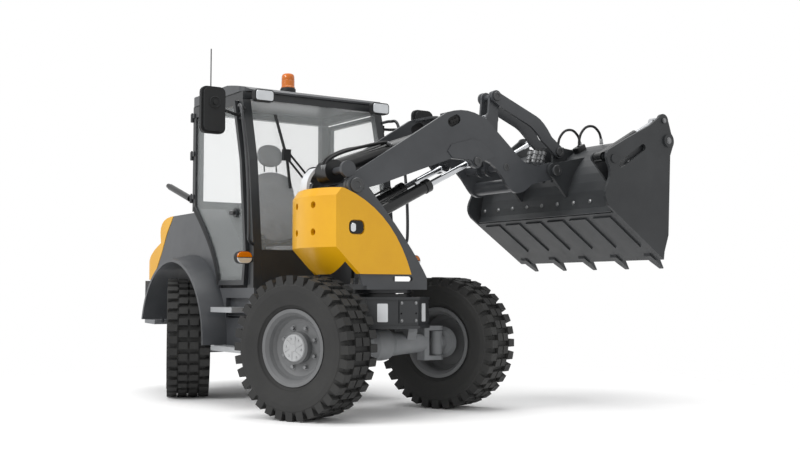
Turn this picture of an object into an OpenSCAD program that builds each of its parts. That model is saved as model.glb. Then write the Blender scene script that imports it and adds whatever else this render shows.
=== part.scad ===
// Compact swing loader with a clam bucket, in millimetres, +Z up, +X forward.
// The machine is drawn round its front axle and then moved to its footprint centre.

/* [Running gear] */
// Distance between the axles
wheelbase = 1950; // [1900:5:2050]
// Distance between the tyres' middle planes, wheels straight
track = 1355; // [1330:5:1400]
// Tyre radius out to the lugs' tips
tyre_r = 505; // [495:1:515]
// Tyre width
tyre_w = 355; // [330:1:360]
// Lugs round each tyre, a multiple of four
lugs = 32; // [24:4:40]
// Steering angle of the front wheels as they stand, rear wheels opposite
steer_rest = 22.5; // [15:0.5:30]
// Distance from the steering pivot out to the tyre's middle plane
king_offset = 150; // [145:1:160]

/* [Cab] */
// Half the cab's width
cab_half = 660; // [640:5:680]
// Side pillar thickness
pillar = 70; // [50:1:80]
// Glass thickness
glass_t = 8; // [5:1:10]

/* [Arm] */
// Direction of the arm as it stands, measured from straight ahead
swing_rest = 90; // [85:1:95]
// Outer width over the boom's side plates
boom_w = 520; // [510:1:524]
// Thickness of the boom's side plates
boom_t = 30; // [20:1:34]
// Lift cylinder barrel radius
lift_r = 46; // [40:1:48]
// Tilt cylinder barrel radius
tilt_r = 78; // [65:1:84]

/* [Bucket] */
// Width over the clam's side plates
bucket_w = 1730; // [1710:5:1780]
// Angle of the bucket floor below level as it stands
dump_rest = 34; // [32:0.5:36]
// Number of teeth on the cutting edge
teeth = 5; // [5:1:8]

/* [Fits] */
// Radial play of a pin in its bore
play = 0.06; // [0.02:0.01:0.09]
// Gap between parts that move past one another
gap = 6; // [5:0.5:8]
// Hair gap between pieces that are bolted together
touch = 0.2; // [0.1:0.05:0.3]

/* [Hidden] */
$fn = 48;

axle_z = tyre_r;
king_y = track / 2 - king_offset;
rear_x = -wheelbase;
boom_out = boom_w / 2;
boom_in = boom_out - boom_t;
bucket_half = bucket_w / 2;
// Cab: front panel, rear wall, sill, roof line
cab_front = -772;
cab_back = rear_x - 10;
sill_z = 928;
deck_z = 1060;
head_z = 2440;
roof_z0 = 2500;
// Hinges
door_hinge = [rear_x + 45, cab_half + 35];
hood_hinge = [rear_x - 430, 1586];
// Wheel arch
arch_c = [rear_x - 20, 490];
arch_r = 660;
// Pins of the arm, as distance ahead of the slewing axis and height
pin_a = [-387, 1652];
pin_b = [-300, 1385];
pin_l = [725, 1901];
pin_t = pin_a + [-43, 118];
pin_h = [1022, 1877];
pin_m = pin_h + [24, 413];
pin_p = pin_h + [43, 591];
pin_q = [1500, 1875];
pin_k = pin_q + [240, 190];
// Rear lower edge of the bucket floor, origin of the bucket's own drawing
edge_r = pin_q + [108, -370];
// Back blade in the bucket's own drawing, rolled to an arc from its rear face and its circle's lowest point
blade_r = 590;
blade_back = -116;
blade_foot = -202;
blade_c = [blade_back + blade_r, blade_foot + blade_r];
// Pins of the clam, which follow the blade
clam_p = [150, blade_c[1] + 438];
clam_eye = clam_p + [-125, 107];
clam_base = [blade_back - 174, blade_c[1] - 58];
lobe_r = 75;
// Ends of the machine: rear hood, mirror, boss and lobe of the clam
tail_x = rear_x - 1115;
mirror_y = 1115;
boss_t = 15;
reach = edge_r[0] + clam_p[0] * cos(dump_rest) + clam_p[1] * sin(dump_rest) + lobe_r;
// Footprint centre
foot_x = (bucket_half + boss_t + tail_x) / 2;
foot_y = (reach - mirror_y) / 2;
// Turret plates stand outside the boom, weight cheeks outside the plates
plate_t = 30;
plate_in = boom_out + gap;
plate_out = plate_in + plate_t;
cheek_t = 26;

// Helpers
module place() { translate([-foot_x, -foot_y, 0]) children(); }
module swung() { place() rotate([0, 0, swing_rest]) children(); }
module pair() { children(); mirror([0, 1, 0]) children(); }
// Extrude a side profile from y0 to y1
module prof(y0, y1) { translate([0, y1, 0]) rotate([90, 0, 0]) linear_extrude(height = y1 - y0) children(); }
// Extrude a front profile, drawn as left and up, from x0 to x1
module front(x0, x1) {
    translate([x0, 0, 0]) rotate([90, 0, 90]) linear_extrude(height = x1 - x0) children();
}
// Extrude a plan from z0 to z1
module plan(z0, z1) { translate([0, 0, z0]) linear_extrude(height = z1 - z0) children(); }
// Round bar across the machine
module bar(p, r, y0, y1) { translate([p[0], y0, p[1]]) rotate([-90, 0, 0]) cylinder(r = r, h = y1 - y0); }
// Round disc in a profile
module dot(p, r) { translate(p) circle(r = r); }
// Box from corner to corner
module blk(a, b) { translate(a) cube(b - a); }
// Frame along a line in the side view: local +X runs from a to b
module along(a, b) {
    translate([a[0], 0, a[1]]) rotate([0, -atan2(b[1] - a[1], b[0] - a[0]), 0]) children();
}
// Round bar along local X
module xbar(r, x0, x1) { translate([x0, 0, 0]) rotate([0, 90, 0]) cylinder(r = r, h = x1 - x0); }
// Eye across local Y at the local origin
module eye(x, r, w) { translate([x, -w / 2, 0]) rotate([-90, 0, 0]) cylinder(r = r, h = w); }
// Straight rod between two points in space
module strut(a, b, r) {
    d = b - a;
    translate(a) rotate([0, acos(d[2] / norm(d)), atan2(d[1], d[0])]) cylinder(r = r, h = norm(d));
}
// Bent tube through points, with slightly fuller bends
module tube(pts, r) {
    for (i = [1 : len(pts) - 1]) strut(pts[i - 1], pts[i], r);
    for (i = [1 : len(pts) - 2]) translate(pts[i]) sphere(r = r + 0.6);
}
// Curve from a to c that leans on b
function curve(a, b, c, n) = [for (i = [0 : n]) let (t = i / n)
    a * (1 - t) * (1 - t) + b * 2 * t * (1 - t) + c * t * t];
// Arc round c from angle a0 to a1
function arc(c, r, a0, a1, n) = [for (i = [0 : n]) let (a = a0 + (a1 - a0) * i / n)
    c + r * [cos(a), sin(a)]];
// Slot with round ends from a to b
function oblong(a, b, r) = let (d = b - a, t = atan2(d[1], d[0]))
    concat(arc(b, r, t - 90, t + 90, 8), arc(a, r, t + 90, t + 270, 8));
// Rectangle with rounded corners
function rounded(a, b, r) = concat(
    arc([b[0] - r, b[1] - r], r, 0, 90, 4), arc([a[0] + r, b[1] - r], r, 90, 180, 4),
    arc([a[0] + r, a[1] + r], r, 180, 270, 4), arc([b[0] - r, a[1] + r], r, 270, 360, 4));
// Straight bar of width w from a to b
function band(a, b, w) = let (d = (b - a) / norm(b - a), n = [-d[1], d[0]] * w / 2)
    [a + n, a - n, b - n, b + n];
// Plan of a tail with rounded rear corners
function tail_plan(x0, x1, half, r) = concat([[x1, -half], [x1, half]],
    arc([x0 + r, half - r], r, 90, 180, 5), arc([x0 + r, r - half], r, 180, 270, 5));

// Chassis: front box with a bevelled nose, slewing spigot, belly and rails
module nose(o, z0, z1) {
    plan(z0, z1) polygon([[-260 - o, -250 - o], [255, -270 - o],
        [380 + o, -88 - o], [380 + o, 88 + o], [255, 270 + o], [-260 - o, 250 + o]]);
}
rail_in = 105;
rail_out = 175;
belly_half = 420;
box_low = 630;
module chassis() {
    color("dimgray") place() difference() {
        union() {
            nose(0, 640, 848);
            nose(10, box_low, 652);
            nose(10, 840, 858);
            blk([374, -80, 672], [388, 80, 832]);
            translate([0, 0, 858]) cylinder(r = 235, h = 22);
            translate([0, 0, 870]) cylinder(r = 120, h = 60);
            pair() blk([rear_x - 730, rail_in, 600], [-250, rail_out, 800]);
            blk([rear_x + 610, -belly_half, 620], [-650, belly_half, 860]);
            blk([-700, -rail_out, 640], [-250, rail_out, 800]);
            blk([rear_x - 1010, -belly_half, 640], [rear_x - 710, belly_half, 800]);
            blk([rear_x - 160, -rail_out, 640], [rear_x + 160, rail_out, 720]);
            // Outriggers under the cab floor, tapered to the sill
            pair() front(rear_x + 700, -760) polygon([[410, 640], [410, 760], [600, 700], [600, 640]]);
        }
        translate([0, 0, 800]) cylinder(r = 60, h = 200);
        // Two threaded holes in the front plate
        for (y = [-65, 65]) translate([348, y, 741]) rotate([0, 90, 0]) cylinder(r = 7, h = 60);
    }
}

// Axle: banjo housing turned about the axle line, pinion nose and steering yokes
yoke_h = 130;
yoke_t = 34;
yoke_r = 48;
king_r = 24;
// Half the housing, as radius and distance out
tube_side = [[0, 400], [66, 400], [85, 160], [92, 100], [116, 55], [121, 12]];
module axle_parts(nose_side) {
    translate([0, 0, axle_z]) {
        rotate([-90, 0, 0]) rotate_extrude()
            polygon(concat(tube_side, [for (p = backwards(tube_side)) [p[0], -p[1]]]));
        rotate([0, nose_side * 90, 0]) translate([0, 0, 50]) cylinder(r1 = 100, r2 = 58, h = 170);
        pair() {
            front(-yoke_r, yoke_r) polygon([[380, -yoke_h], [king_y, -yoke_h], [king_y, yoke_t - yoke_h],
                [425, yoke_t - yoke_h], [425, yoke_h - yoke_t], [king_y, yoke_h - yoke_t],
                [king_y, yoke_h], [380, yoke_h]]);
            for (z = [-yoke_h, yoke_h - yoke_t])
                translate([0, king_y, z]) cylinder(r = yoke_r + 1, h = yoke_t);
            translate([0, king_y, -yoke_h]) cylinder(r = king_r, h = 2 * yoke_h);
        }
    }
}

module front_axle() {
    color("slategray") place() {
        axle_parts(-1);
        // Saddles up to the box's bottom plate
        pair() prof(200, 280) polygon([[-95, box_low], [95, box_low], [95, box_low - 35],
            [62, axle_z], [-62, axle_z], [-95, box_low - 35]]);
    }
}

module rear_axle() {
    color("slategray") place() translate([rear_x, 0, 0]) {
        axle_parts(1);
        // Rocking block under the chassis
        prof(-70, 70) polygon([[-80, 640], [80, 640], [100, axle_z + 60], [-100, axle_z + 60]]);
    }
}

module engine() { color("gray") place() blk([rear_x - 870, -175, 800], [rear_x - 110, 175, 1250]); }

// Rear body
// Edge under the door, moved down and back by s
function door_edge(s) = [for (p = curve([70, 1600], [546, 1205], [578, 950], 8))
    [rear_x + p[0] - s, p[1] - s]];
function backwards(pts) = [for (i = [1 : len(pts)]) pts[len(pts) - i]];
module arch(r, y0, y1) { bar(arch_c, r, y0, y1); }
// Ring about the arch's axis, drawn as radius and distance out
module arch_turn() { translate([arch_c[0], 0, arch_c[1]]) rotate([-90, 0, 0]) rotate_extrude() children(); }
panel_t = 20;
flare_y = 850;
hinge_r = 9;
lug_r = 14;
lug_t = 24;
lug_at = [344, 416];

module body_panels() {
    color("dimgray") place() {
        // Side panels between door, hood and wheel arch
        difference() {
            pair() prof(cab_half - panel_t, cab_half) polygon(concat(door_edge(22),
                [[rear_x + 556, sill_z - touch], [-760, sill_z - touch], [-760, 470], [rear_x + 610, 470],
                [rear_x - 690, 620], [rear_x - 890, 1000], [rear_x - 690, 1250],
                [rear_x - 570, 1420], [rear_x - 420, 1575]]));
            arch(arch_r + 5, -1000, 1000);
            pair() blk([rear_x + 690, cab_half - 60, 690], [-850, cab_half + 60, 848]);
        }
        // Tray behind the upper step
        pair() difference() {
            blk([rear_x + 680, cab_half - 56, 702], [-840, cab_half - panel_t + 1, 858]);
            blk([rear_x + 690, cab_half - 40, 710], [-850, cab_half + 60, 848]);
        }
        // Deck behind the cab with the hood's hinge lugs
        blk([rear_x - 420, -cab_half, 1555], [rear_x - 20, cab_half, 1575]);
        pair() for (y = lug_at) prof(y, y + lug_t) {
            dot(hood_hinge, lug_r);
            polygon([hood_hinge + [0, -lug_r], hood_hinge + [0, lug_r], hood_hinge + [60, -11],
                hood_hinge + [60, -30], hood_hinge + [15, -30]]);
        }
        pair() bar(hood_hinge, hinge_r, lug_at[0] - 4, lug_at[1] + lug_t + 4);
        // Arch liner, and a flare that slopes from the panel to the lip
        pair() difference() {
            arch_turn() polygon([[arch_r, 430], [arch_r, flare_y], [arch_r + 26, flare_y],
                [arch_r + 68, 662], [arch_r + 60, 641], [arch_r + 30, 638], [arch_r + 30, 430]]);
            blk([rear_x - 1050, 400, -400], [rear_x + 950, 900, 470]);
            blk([rear_x - 1050, 400, 300], [rear_x - 650, 900, 650]);
        }
    }
}

module rear_counterweight() {
    color("gray") place() difference() {
        intersection() {
            translate([rear_x, 0]) prof(-700, 700) polygon([[-1010, 1000], [-1090, 1000], [-1110, 940],
                [-1110, 860], [-1085, 840], [-1085, 740], [-1050, 610], [-750, 600], [-740, 640],
                [-1010, 640]]);
            plan(500, 1100) polygon(tail_plan(tail_x, rear_x - 600, 700, 150));
        }
        pair() arch(arch_r + 40, 425, 900);
        blk([rear_x - 1010, -belly_half - touch, 640 - touch], [rear_x - 650, belly_half + touch, 810]);
    }
}

hood_t = 15;
module hood_shape() {
    translate([rear_x, 0]) polygon(concat([[-435, 1575]], curve([-500, 1574], [-735, 1560], [-735, 1440], 5),
        [[-720, 1345]], curve([-790, 1320], [-1010, 1250], [-1115, 1060], 5),
        [[-1115, 1010], [-900, 1010], [-695, 1260], [-580, 1430]]));
}
module hood() {
    color("goldenrod") place() difference() {
        union() {
            intersection() {
                prof(-cab_half, cab_half) hood_shape();
                plan(900, 1700) polygon(tail_plan(tail_x, rear_x - 300, cab_half, 140));
            }
            pair() prof(lug_at[0] + lug_t + gap, lug_at[1] - gap) {
                dot(hood_hinge, lug_r);
                polygon([hood_hinge + [0, lug_r], hood_hinge + [0, -lug_r], hood_hinge + [-20, -26],
                    hood_hinge + [-60, -26], hood_hinge + [-60, -13]]);
            }
        }
        intersection() {
            prof(hood_t - cab_half, cab_half - hood_t) translate([hood_t, -hood_t]) hood_shape();
            plan(900, 1700) polygon(tail_plan(tail_x + hood_t, rear_x - 300, cab_half - hood_t, 125));
        }
        pair() bar(hood_hinge, hinge_r + play, 300, 500);
        pair() for (y = lug_at) bar(hood_hinge, lug_r + gap, y - gap, y + lug_t + gap);
        // Grille slots in the rear of the upper bulge
        for (z = [1365 : 32 : 1470]) blk([rear_x - 800, -400, z], [rear_x - 690, 400, z + 16]);
    }
}

// Cab
module cab_tub() {
    color("dimgray") place() {
        // Floor, step up to the seat deck over the rear axle, rear wall
        prof(-415, 415) polygon([[cab_front, 860], [rear_x + 605, 860], [rear_x + 605, deck_z - 30],
            [cab_back, deck_z - 30], [cab_back, 1620], [cab_back + 30, 1620], [cab_back + 30, deck_z],
            [rear_x + 635, deck_z], [rear_x + 635, 890], [cab_front, 890]]);
        // Front panel, with its lower edge turned in
        prof(pillar - cab_half, cab_half - pillar) polygon([[cab_front - 12, 880], [cab_front, 905],
            [cab_front, 1225], [cab_front - 28, 1225], [cab_front - 28, 880]]);
        blk([rear_x + 610, 25 - cab_half, 860], [cab_front, cab_half - 25, sill_z]);
        // Raised sides over the wheel arches
        pair() prof(385, cab_half - 25) polygon(concat(
            [[cab_back, 1590], [cab_back, 1615], [rear_x + 60, 1615]], door_edge(-10),
            [[rear_x + 625, 862], [rear_x + 600, 862]], backwards(door_edge(13))));
        pair() prof(385, 415) polygon(concat([[rear_x + 530, deck_z - 25]],
            backwards([for (p = door_edge(8)) if (p[1] > deck_z) p]),
            [[cab_back + 15, 1600], [cab_back + 15, deck_z - 25]]));
        blk([cab_back, -cab_half, 1590], [cab_back + 70, cab_half, 1620]);
    }
}

// Line of the windscreen and the front pillars, moved back by s
function screen(s) = [[cab_front - 4 - s, 1230], [cab_front - 86 - s, 1937], [cab_front - 220 - s, head_z]];
hinge_z = [1660, 2030, 2360];
module cab_frame() {
    color("#303235") place() {
        // Front pillars, raked
        pair() prof(cab_half - pillar, cab_half) polygon(concat([[cab_front - 2, sill_z]], screen(-2),
            backwards(screen(66)), [[cab_front - 103, sill_z]]));
        // Door hinges
        for (z = hinge_z) pair() {
            blk([door_hinge[0] - 20, cab_half - 1, z], [door_hinge[0] + 14, door_hinge[1], z + 30]);
            translate([door_hinge[0], door_hinge[1], z]) cylinder(r = lug_r, h = 30);
            translate([door_hinge[0], door_hinge[1], z]) cylinder(r = 8, h = 80);
        }
        // Rear pillars
        pair() blk([cab_back, cab_half - pillar, 1620], [cab_back + 70, cab_half, head_z]);
        // Roof frame and the bar under the rear window
        difference() {
            blk([cab_back, -cab_half, head_z], [cab_front - 213, cab_half, roof_z0]);
            blk([cab_back + 70, pillar - cab_half, head_z - 40],
                [cab_front - 288, cab_half - pillar, roof_z0 + 100]);
        }
        blk([cab_back, pillar - cab_half, 1620], [cab_back + 60, cab_half - pillar, 1680]);
    }
}

// Roof: edges, crown, fall from the crown to the front edge, rounding from side to side
roof_front = cab_front - 190;
roof_back = cab_back - 30;
roof_top = 2610;
roof_crown = rear_x + 250;
roof_fall = 79.518;
roof_round = 7500;
function roof_z(x) = roof_top - roof_fall * pow((x - roof_crown) / (roof_front - roof_crown), 2);
module roof_body() {
    intersection() {
        prof(-cab_half - 10, cab_half + 10) polygon(concat(
            [[roof_back, roof_z0], [roof_front, roof_z0], [roof_front + 2, roof_z0 + 14]],
            [for (i = [0 : 10]) let (x = roof_front - 22 + i * (roof_back - roof_front + 40) / 10)
                [x, roof_z(x)]],
            [[roof_back, roof_z0 + 60]]));
        plan(roof_z0 - 100, roof_top + 90)
            polygon(rounded([roof_back, -cab_half - 10], [roof_front + 2, cab_half + 10], 80));
        front(roof_back - 50, roof_front + 50) polygon(concat([[-800, roof_z0 - 100], [800, roof_z0 - 100]],
            arc([0, roof_top + 2 - roof_round], roof_round, 84, 96, 10)));
    }
}
module cab_roof() { color("dimgray") place() roof_body(); }

module cab_glass() {
    color("lightsteelblue", 0.4) place() {
        prof(pillar - cab_half, cab_half - pillar) polygon(concat([[cab_front - 4, 1225 + touch]], screen(0),
            backwards(screen(glass_t)), [[cab_front - 4 - glass_t, 1225 + touch]]));
        blk([cab_back + 20, pillar - cab_half, 1680], [cab_back + 20 + glass_t, cab_half - pillar, head_z]);
    }
}

// Seat: pedestal, cushion, reclined back, headrest
module seat() {
    color("#25262a") place() translate([rear_x, 0, 0]) {
        prof(-180, 180) polygon([[310, deck_z + touch], [620, deck_z + touch], [590, 1150], [330, 1150]]);
        prof(-240, 240) polygon(rounded([250, 1150], [730, 1290], 40));
        prof(-230, 230) polygon(concat([[250, 1285], [350, 1285]], arc([185, 1965], 35, 10, 80, 3),
            arc([145, 1965], 30, 100, 170, 3)));
        prof(-130, 130) polygon(concat([[200, 1995], [130, 1995]], arc([120, 2185], 30, 180, 100, 3),
            arc([145, 2185], 30, 80, 0, 3)));
    }
}

// Steering column, wheel and the console with its lever
wheel_c = [cab_front - 233, 1490];
module controls() {
    color("#1f2022") place() {
        prof(-60, 60) polygon([[cab_front - 28 - touch, sill_z + touch], [cab_front - 188, sill_z + touch],
            wheel_c + [-5, -10], wheel_c + [45, 10], [cab_front - 28 - touch, 1100]]);
        translate([wheel_c[0], 0, wheel_c[1]]) rotate([0, -25, 0]) {
            rotate_extrude() translate([160, 0]) circle(r = 13);
            cylinder(r = 40, h = 20, center = true);
            for (a = [90, 210, 330]) rotate([0, 0, a]) blk([20, -14, -8], [165, 14, 8]);
        }
        translate([rear_x, 0, 0]) {
            prof(-380, -260) polygon([[250, deck_z + touch], [605, deck_z + touch], [605, 1340],
                [560, 1380], [270, 1360]]);
            translate([530, -320, 1370]) cylinder(r1 = 18, r2 = 12, h = 180);
            translate([530, -320, 1560]) sphere(r = 32);
        }
    }
}

// Steps: slotted treads, the lower one hung from the outrigger
step_y = 800;
module tread(x0, x1, y0, z0, z1) {
    difference() {
        blk([x0, y0, z0], [x1, step_y, z1]);
        for (y = [y0 + 40 : 34 : step_y - 36]) blk([x0 + 24, y, z0 - 1], [x1 - 24, y + 20, z1 + 1]);
    }
}
module steps() {
    color("silver") place() pair() {
        tread(rear_x + 700, -862, cab_half - 40 + touch, 735, 775);
        tread(rear_x + 710, -700, 580, 430, 470);
        for (x = [rear_x + 740, -800])
            front(x, x + 40) polygon([[560, 640], [618, 640], [632, 465], [580, 465]]);
    }
}

// Work lamps at the roof's front corners, signal lamps beside the front pillars
module lamps() {
    color("whitesmoke") place() pair() {
        front(-880, -822) polygon(rounded([464, 2400], [632, 2496], 26));
        front(-905, -870) polygon(rounded([490, 2415], [606, 2481], 20));
        blk([cab_front - 213 + touch, 530, 2442], [-900, 566, 2462]);
        front(-720, -676) polygon(oblong([764, 1158], [806, 1158], 48));
        strut([-812, cab_half + 12, 1150], [-712, 764, 1150], 16);
        blk([-850, cab_half + touch, 1128], [-790, cab_half + 12, 1172]);
    }
}

beacon_x = cab_front - 688;
module beacon() {
    color("orange") place() difference() {
        translate([beacon_x, 0, roof_top - 30]) rotate_extrude()
            polygon([[0, 0], [74, 0], [66, 52], [60, 58], [57, 200], [44, 224], [0, 230]]);
        translate([0, 0, touch]) roof_body();
    }
}

// Mirror on a bent arm; the one on the arm's side is set closer
module mirror_set(out) {
    front(-795, -760) polygon(rounded([out - 200, 2100], [out, 2460], 45));
    front(-765, -730) polygon(rounded([out - 185, 2115], [out - 15, 2445], 38));
    tube([[-985, cab_half + 8, 2300], [-970, cab_half + 70, 2300], [-775, out - 190, 2290]], 12);
    blk([-1012, cab_half + touch, 2270], [-962, cab_half + 16, 2330]);
}
module mirrors() {
    color("#222222") place() {
        mirror_set(mirror_y - 75);
        mirror([0, 1, 0]) mirror_set(mirror_y);
    }
}

module exhaust() {
    color("#1c1c1c") place() translate([rear_x, -cab_half - 28 - touch, 0]) along([10, 1700], [-480, 1850]) {
        xbar(28, 0, 470);
        xbar(22, 460, 520);
    }
}

module antenna() {
    color("#222222") place() difference() {
        translate([cab_back, -500, roof_top - 50]) {
            cylinder(r1 = 18, r2 = 8, h = 60);
            cylinder(r = 5, h = 480);
        }
        translate([0, 0, touch]) roof_body();
    }
}

// Wiper: two arms from a box under the windscreen to the blade's carrier
module wiper() {
    color("#222222") place() {
        blk([cab_front + touch, 300, 1185], [cab_front + 32, 440, 1222]);
        translate([cab_front + 24, 0, 1205]) rotate([0, -6.3, 0]) {
            front(-6, 6) polygon(band([410, 0], [-322, 806], 13));
            front(-6, 6) polygon(band([330, 0], [-345, 770], 13));
            front(-8, 8) polygon(band([-325, 518], [-343, 790], 18));
        }
        // Carrier that joins the arms and both halves of the blade
        blk([-856, -375, 1945], [-822, -310, 2035]);
        translate([-840, 0, 1990]) rotate([0, -14.4, 0])
            front(-8, 8) polygon(band([-345, 0], [-402, 342], 18));
    }
}

// Doors, hinged at their rear edge, with a lock through the glass
lock = [cab_front - 264, 1525];
function door_front(s) = [[-884 - s, 950 + s], [-852 - s, 1225], [-936 - s, 1937],
    [-1070 - s * 0.8, 2430 - s]];
module door_outline() {
    polygon(concat(door_front(0), [[rear_x + 70, 2430]], door_edge(0)));
}
module door_window() {
    polygon(concat(door_front(38), [[rear_x + 115, 2392], [rear_x + 115, 1632]],
        [for (p = door_edge(-32)) if (p[0] > rear_x + 150 && p[1] > 990) p], [[rear_x + 607, 988]]));
}
module door() {
    y0 = cab_half - 10;
    y1 = cab_half + 30;
    difference() {
        union() {
            difference() {
                prof(y0, y1) door_outline();
                prof(y0 - 1, y1 + 1) door_window();
            }
            for (z = hinge_z) {
                translate([door_hinge[0], door_hinge[1], z + 32]) cylinder(r = lug_r, h = 38);
                blk([door_hinge[0], door_hinge[1] - 13, z + 32],
                    [door_hinge[0] + 55, door_hinge[1] + 5, z + 70]);
            }
        }
        translate([door_hinge[0], door_hinge[1], 1600]) cylinder(r = 8 + play, h = 900);
    }
    bar(lock, 20, cab_half, cab_half + 40);
    bar(lock, 36, cab_half + 12 + touch, cab_half + 38);
    bar(lock, 30, cab_half - 16, cab_half + 12 - glass_t - touch);
}
module door_glass() {
    difference() {
        prof(cab_half + 12 - glass_t, cab_half + 12) door_window();
        bar(lock, 20 + touch, cab_half, cab_half + 40);
    }
}
module door_right() { color("#303235") place() mirror([0, 1, 0]) door(); }
module door_right_glass() { color("lightsteelblue", 0.4) place() mirror([0, 1, 0]) door_glass(); }
module door_left() { color("#303235") place() door(); }
module door_left_glass() { color("lightsteelblue", 0.4) place() door_glass(); }

// Turret and its counterweight, drawn straight ahead and then swung
module turret() {
    color("gray") swung() difference() {
        union() {
            translate([0, 0, 886]) cylinder(r = 240, h = 30);
            blk([-300, -plate_out, 912], [226, plate_out, 950]);
            pair() prof(plate_in, plate_out) difference() {
                union() {
                    polygon(concat([[-330, 940], [226, 940]], curve([226, 1000], [95, 1240], [-325, 1690], 8),
                        [pin_a + [-33, 63], pin_a + [-63, -12], [-460, 1300]]));
                    dot(pin_a, 70);
                }
                polygon(oblong([-60, 990], [80, 990], 18));
            }
            bar(pin_a, 30, -plate_out, plate_out);
            bar(pin_b, 26, -plate_out, plate_out);
        }
        translate([0, 0, 800]) cylinder(r = 120 + play, h = 200);
    }
}

// Weight: turned rear face about the slewing axis, cheeks along the turret plates
weight_r = 650;
weight_half = plate_out + cheek_t;
// Underside, clear of the tyres as the turret swings
weight_low = 1022;
module turret_weight() {
    color("goldenrod") swung() difference() {
        intersection() {
            prof(-weight_half, weight_half) polygon(concat([[-700, 1640], [-560, 1632]],
                curve([-500, 1625], [-85, 1485], [70, weight_low], 9), [[-700, weight_low]]));
            rotate_extrude() polygon([[0, 1003], [473, 1003], [weight_r, 1210], [weight_r, 1575],
                [weight_r - 45, 1645], [0, 1645]]);
            plan(900, 1700) polygon(tail_plan(-weight_r - 20, 200, weight_half, 130));
        }
        blk([-480, -plate_out - touch, 950], [200, plate_out + touch, 1800]);
        // Room for the tilt cylinder's foot as the boom lifts
        bar(pin_a, norm(pin_t - pin_a) + tilt_r + 8 + gap, -75 - gap, 75 + gap);
        // Lifting holes in the rear face
        for (z = [1320, 1513], v = [-118, 118])
            translate([-700, v, z]) rotate([0, 90, 0]) cylinder(r = 25, h = 130);
        // Lamp pockets in the cheeks
        pair() prof(weight_half - 14, weight_half + 10) polygon(rounded([-464, 1300], [-335, 1405], 38));
    }
}

// Boom: goose-neck plates
module boom_outline() {
    polygon(concat([pin_a + [-26, 75]], curve(pin_l + [-283, 355], pin_l + [-85, 432], pin_l + [112, 329], 6),
        curve(pin_h + [128, 91], pin_h + [203, 23], pin_h + [318, 31], 5),
        [pin_q + [0, 70], pin_q + [0, -70], pin_q + [-143, -100]],
        curve(pin_h + [258, -128], pin_h + [105, -265], pin_h + [9, -142], 7),
        curve(pin_h + [0, -131], pin_l + [190, -6], pin_l + [92, 14], 4),
        [pin_l + [50, -1], pin_l + [0, -51], pin_l + [-45, -36], pin_l + [-85, 4], pin_l + [-241, 7],
        pin_a + [225, 22], pin_a + [72, -22], pin_a + [0, -70]]));
    dot(pin_q, 70);
    dot(pin_a, 70);
    dot(pin_l, 52);
}
// Raised plate round the lift pin
module boom_doubler() {
    polygon([pin_l + [-237, 12], pin_l + [-280, 60], pin_l + [-246, 112], pin_l + [-44, 170],
        pin_l + [35, 159], pin_l + [195, 52], pin_l + [60, 6], pin_l + [0, -40], pin_l + [-60, 8]]);
}
nose_bar = pin_h + [108, -132];
module boom() {
    color("#3a3c40") swung() difference() {
        union() {
            pair() prof(boom_in, boom_out) difference() {
                boom_outline();
                // Opening for the hoses in the hump
                polygon(oblong(pin_l + [-240, 285], pin_l + [-190, 312], 36));
            }
            pair() prof(boom_out - 1, boom_out + 8) boom_doubler();
            bar(nose_bar, 55, -boom_in, boom_in);
            bar(pin_h, 28, -boom_in, boom_in);
            bar(pin_q, 32, -boom_out - 60, boom_out + 60);
            // Flanges in the hump beside the lever, and a cross plate under the tilt cylinder
            pair() prof(110, boom_in + 1) polygon(concat(
                curve(pin_l + [-240, 369], pin_l + [-87, 415], pin_l + [-29, 372], 4),
                curve(pin_l + [-29, 354], pin_l + [-87, 397], pin_l + [-236, 351], 4)));
            prof(-boom_in, boom_in) polygon([pin_a + [357, 76], pin_l + [-255, 8],
                pin_l + [-261, 26], pin_a + [351, 94]]);
            bar(pin_t, 26, -boom_in, boom_in);
            pair() prof(boom_in, boom_out) dot(pin_t, 60);
        }
        bar(pin_a, 30 + play, -400, 400);
    }
}

// Cylinders: each lies along the line between its two pins
lift_y = 170;
lift_len = norm(pin_l - pin_b);
module lift_barrels() {
    color("#202124") swung() pair() translate([0, lift_y, 0]) along(pin_b, pin_l) difference() {
        union() {
            xbar(lift_r, 60, lift_len - 448);
            xbar(lift_r + 6, lift_len - 488, lift_len - 438);
            eye(0, 52, 80);
            blk([0, -40, -40], [80, 40, 40]);
        }
        eye(0, 26 + play, 120);
        xbar(24 + play, 300, lift_len);
    }
}
module lift_rods() {
    color("silver") swung() pair() translate([0, lift_y, 0]) along(pin_b, pin_l) difference() {
        union() {
            xbar(24, 420, lift_len - 38);
            eye(lift_len, 42, 60);
        }
        eye(lift_len, 22, 120);
    }
}
tilt_len = norm(pin_m - pin_t);
module tilt_barrel() {
    color("#202124") swung() along(pin_t, pin_m) difference() {
        union() {
            xbar(tilt_r, 40, 940);
            xbar(tilt_r + 8, 900, 950);
            eye(0, tilt_r + 8, 150);
        }
        eye(0, 26 + play, 200);
        xbar(38 + play, 95, 1000);
    }
}
module tilt_rod() {
    color("silver") swung() along(pin_t, pin_m) difference() {
        union() {
            xbar(38, 545, tilt_len - 38);
            eye(tilt_len, 50, 60);
        }
        eye(tilt_len, 26, 120);
    }
}

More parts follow.
